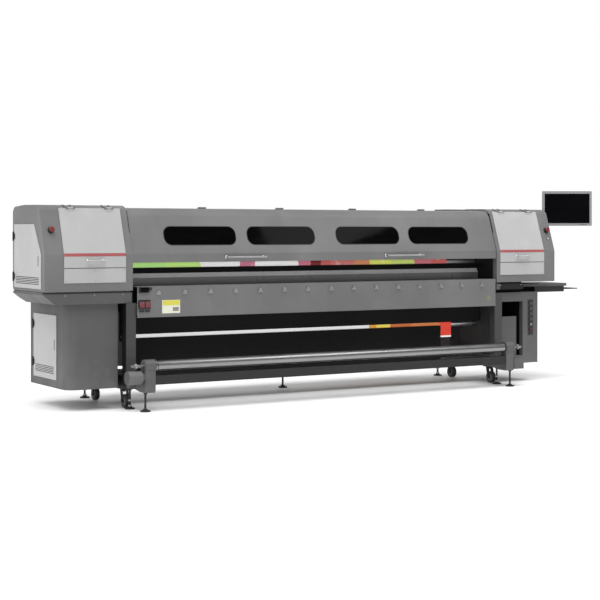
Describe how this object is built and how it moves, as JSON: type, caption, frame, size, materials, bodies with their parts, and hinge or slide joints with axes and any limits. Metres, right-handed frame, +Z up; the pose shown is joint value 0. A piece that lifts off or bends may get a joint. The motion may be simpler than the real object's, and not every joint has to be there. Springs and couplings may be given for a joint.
{
  "type": "roll-to-roll large-format printer",
  "caption": "Wide roll-to-roll printer with two end housings, a windowed lift-up hood, front media slot, take-up shaft, side cabinets and an operator monitor.",
  "frame": {"origin": "on the floor, at the middle of the machine's footprint", "axes": "+X along the machine to the operator's right, +Y to the rear, +Z up; the operator stands at -Y"},
  "size_m": [5.332, 1.24, 1.691],
  "materials": {
    "body_grey": "fine-textured powder coat",
    "light_grey": "satin paint",
    "frame_grey": "powder coat",
    "charcoal": "matt paint",
    "bright_steel": "polished",
    "dark_steel": "blackened",
    "bed_aluminium": "anodised",
    "black_rubber": "matt",
    "black_plastic": "matt",
    "grey_plastic": "matt",
    "silver_plastic": "satin",
    "red_plastic": "gloss",
    "dark_glass": "polished tinted acrylic",
    "media": "coated print film"
  },
  "bodies": {
    "root": {"base_trays": "body_grey", "capping_station": "black_plastic", "control_box": "black_plastic", "crossbeams": "frame_grey", "dryer_shield": "charcoal", "front_bar": "bed_aluminium", "front_panel": "body_grey", "gantry_beam": "bed_aluminium", "hinge_pins": "dark_steel", "ink_tanks": "black_plastic", "keyboard_shelf": "frame_grey", "left_cabinet": "body_grey", "left_housing": "body_grey", "left_side_frame": "frame_grey", "levelling_feet": "black_rubber", "lower_plates": "light_grey", "media_web": "media", "panel_catches": "bright_steel", "platen": "bed_aluminium", "rear_covers": "body_grey", "right_cabinet": "body_grey", "right_housing": "body_grey", "right_side_frame": "frame_grey", "switch_bases": "black_plastic", "takeup_stand": "frame_grey", "under_panel": "charcoal"},
    "hood": {"hood_shell": "body_grey", "hood_windows": "dark_glass", "hood_handles": "bright_steel"},
    "left_cover": {"left_housing_cover": "light_grey"},
    "right_cover": {"right_housing_cover": "light_grey"},
    "upper_door": {"upper_side_door": "light_grey"},
    "lower_door": {"left_cabinet_door": "light_grey"},
    "print_carriage": {"carriage": "black_plastic"},
    "feed": {"feed_roller": "bright_steel"},
    "pinch": {"pinch_rollers": "black_rubber"},
    "guide": {"guide_roller": "bed_aluminium"},
    "supply": {"supply_roll": "media", "supply_shaft": "bright_steel"},
    "takeup": {"takeup_shaft": "bed_aluminium"},
    "left_stop": {"left_emergency_stop": "red_plastic"},
    "right_stop": {"right_emergency_stop": "red_plastic"},
    "button_1": {"grey_button_1": "grey_plastic"},
    "button_2": {"grey_button_2": "grey_plastic"},
    "button_3": {"grey_button_3": "grey_plastic"},
    "button_4": {"grey_button_4": "grey_plastic"},
    "stop_key": {"stop_button": "red_plastic"},
    "rocker_left": {"left_rocker": "red_plastic"},
    "rocker_right": {"right_rocker": "red_plastic"},
    "tray": {"mouse_tray": "charcoal"},
    "arm": {"monitor_arm": "charcoal"},
    "screen": {"monitor": "silver_plastic"},
    "front_left_fork": {"front_left_caster_fork": "dark_steel"},
    "front_left_wheel": {"front_left_caster_wheel": "black_rubber"},
    "front_right_fork": {"front_right_caster_fork": "dark_steel"},
    "front_right_wheel": {"front_right_caster_wheel": "black_rubber"},
    "rear_left_fork": {"rear_left_caster_fork": "dark_steel"},
    "rear_left_wheel": {"rear_left_caster_wheel": "black_rubber"},
    "rear_right_fork": {"rear_right_caster_fork": "dark_steel"},
    "rear_right_wheel": {"rear_right_caster_wheel": "black_rubber"}
  },
  "joints": [
    {"name": "hood_lift", "type": "hinge", "parent": "root", "child": "hood", "pos_m": [-0.216, -0.1915, 1.508], "axis": [-1, 0, 0], "range_deg": [0, 75]},
    {"name": "left_cover_lift", "type": "hinge", "parent": "root", "child": "left_cover", "pos_m": [-2.243, -0.27442, 1.49852], "axis": [-1, 0, 0], "range_deg": [0, 80]},
    {"name": "right_cover_lift", "type": "hinge", "parent": "root", "child": "right_cover", "pos_m": [1.79, -0.27442, 1.49852], "axis": [-1, 0, 0], "range_deg": [0, 80]},
    {"name": "upper_door_swing", "type": "hinge", "parent": "root", "child": "upper_door", "pos_m": [-2.653, 0.22, 1.142], "axis": [0, 0, -1], "range_deg": [0, 110]},
    {"name": "lower_door_swing", "type": "hinge", "parent": "root", "child": "lower_door", "pos_m": [-2.457, 0.328, 0.46], "axis": [0, 0, -1], "range_deg": [0, 110]},
    {"name": "carriage_travel", "type": "slide", "parent": "root", "child": "print_carriage", "axis": [1, 0, 0], "range_m": [-4.06, 0]},
    {"name": "supply_spin", "type": "hinge", "parent": "root", "child": "supply", "pos_m": [-0.216, 0.51, 0.47], "axis": [1, 0, 0], "continuous": true},
    {"name": "feed_spin", "type": "hinge", "parent": "root", "child": "feed", "pos_m": [-0.216, 0.1, 1.066], "axis": [1, 0, 0], "continuous": true},
    {"name": "pinch_spin", "type": "hinge", "parent": "root", "child": "pinch", "pos_m": [-0.216, 0.1, 1.1103], "axis": [1, 0, 0], "continuous": true},
    {"name": "guide_spin", "type": "hinge", "parent": "root", "child": "guide", "pos_m": [-0.216, -0.114, 0.52], "axis": [1, 0, 0], "continuous": true},
    {"name": "takeup_spin", "type": "hinge", "parent": "root", "child": "takeup", "pos_m": [-0.216, -0.57, 0.335], "axis": [1, 0, 0], "continuous": true},
    {"name": "left_stop_push", "type": "slide", "parent": "root", "child": "left_stop", "axis": [0, 0.9473, -0.3204], "range_m": [0, 0.004]},
    {"name": "right_stop_push", "type": "slide", "parent": "root", "child": "right_stop", "axis": [0, 0.9473, -0.3204], "range_m": [0, 0.004]},
    {"name": "button_1_push", "type": "slide", "parent": "root", "child": "button_1", "axis": [0, 1, 0], "range_m": [0, 0.003], "stiffness_N_per_m": 400},
    {"name": "button_2_push", "type": "slide", "parent": "root", "child": "button_2", "axis": [0, 1, 0], "range_m": [0, 0.003], "stiffness_N_per_m": 400},
    {"name": "button_3_push", "type": "slide", "parent": "root", "child": "button_3", "axis": [0, 1, 0], "range_m": [0, 0.003], "stiffness_N_per_m": 400},
    {"name": "button_4_push", "type": "slide", "parent": "root", "child": "button_4", "axis": [0, 1, 0], "range_m": [0, 0.003], "stiffness_N_per_m": 400},
    {"name": "stop_key_push", "type": "slide", "parent": "root", "child": "stop_key", "axis": [0, 1, 0], "range_m": [0, 0.003], "stiffness_N_per_m": 400},
    {"name": "left_rocker_tip", "type": "hinge", "parent": "root", "child": "rocker_left", "pos_m": [-1.879, -0.408, 0.778], "axis": [1, 0, 0], "range_deg": [-9, 9]},
    {"name": "right_rocker_tip", "type": "hinge", "parent": "root", "child": "rocker_right", "pos_m": [-1.831, -0.408, 0.778], "axis": [1, 0, 0], "range_deg": [-9, 9]},
    {"name": "tray_pull", "type": "slide", "parent": "root", "child": "tray", "axis": [1, 0, 0], "range_m": [-0.13, 0]},
    {"name": "arm_swivel", "type": "hinge", "parent": "root", "child": "arm", "pos_m": [2.224, 0.02, 1.44], "axis": [0, 0, 1], "range_deg": [-30, 60]},
    {"name": "screen_tilt", "type": "hinge", "parent": "arm", "child": "screen", "pos_m": [2.5033, -0.13968, 1.533], "axis": [-0.8556, 0.5176, 0], "range_deg": [-5, 20]},
    {"name": "front_left_swivel", "type": "hinge", "parent": "root", "child": "front_left_fork", "pos_m": [-1.956, -0.255, 0.1], "axis": [0, 0, 1], "continuous": true},
    {"name": "front_left_roll", "type": "hinge", "parent": "front_left_fork", "child": "front_left_wheel", "pos_m": [-1.956, -0.279, 0.054], "axis": [1, 0, 0], "continuous": true},
    {"name": "front_right_swivel", "type": "hinge", "parent": "root", "child": "front_right_fork", "pos_m": [1.524, -0.255, 0.1], "axis": [0, 0, 1], "continuous": true},
    {"name": "front_right_roll", "type": "hinge", "parent": "front_right_fork", "child": "front_right_wheel", "pos_m": [1.524, -0.279, 0.054], "axis": [1, 0, 0], "continuous": true},
    {"name": "rear_left_swivel", "type": "hinge", "parent": "root", "child": "rear_left_fork", "pos_m": [-1.956, 0.31, 0.1], "axis": [0, 0, 1], "continuous": true},
    {"name": "rear_left_roll", "type": "hinge", "parent": "rear_left_fork", "child": "rear_left_wheel", "pos_m": [-1.956, 0.286, 0.054], "axis": [1, 0, 0], "continuous": true},
    {"name": "rear_right_swivel", "type": "hinge", "parent": "root", "child": "rear_right_fork", "pos_m": [1.524, 0.31, 0.1], "axis": [0, 0, 1], "continuous": true},
    {"name": "rear_right_roll", "type": "hinge", "parent": "rear_right_fork", "child": "rear_right_wheel", "pos_m": [1.524, 0.286, 0.054], "axis": [1, 0, 0], "continuous": true}
  ],
  "couplings": [
    {"joint": "feed_spin", "follows": "supply_spin", "ratio": -3.6667},
    {"joint": "pinch_spin", "follows": "supply_spin", "ratio": 9.1667},
    {"joint": "guide_spin", "follows": "supply_spin", "ratio": -4.5833}
  ]
}
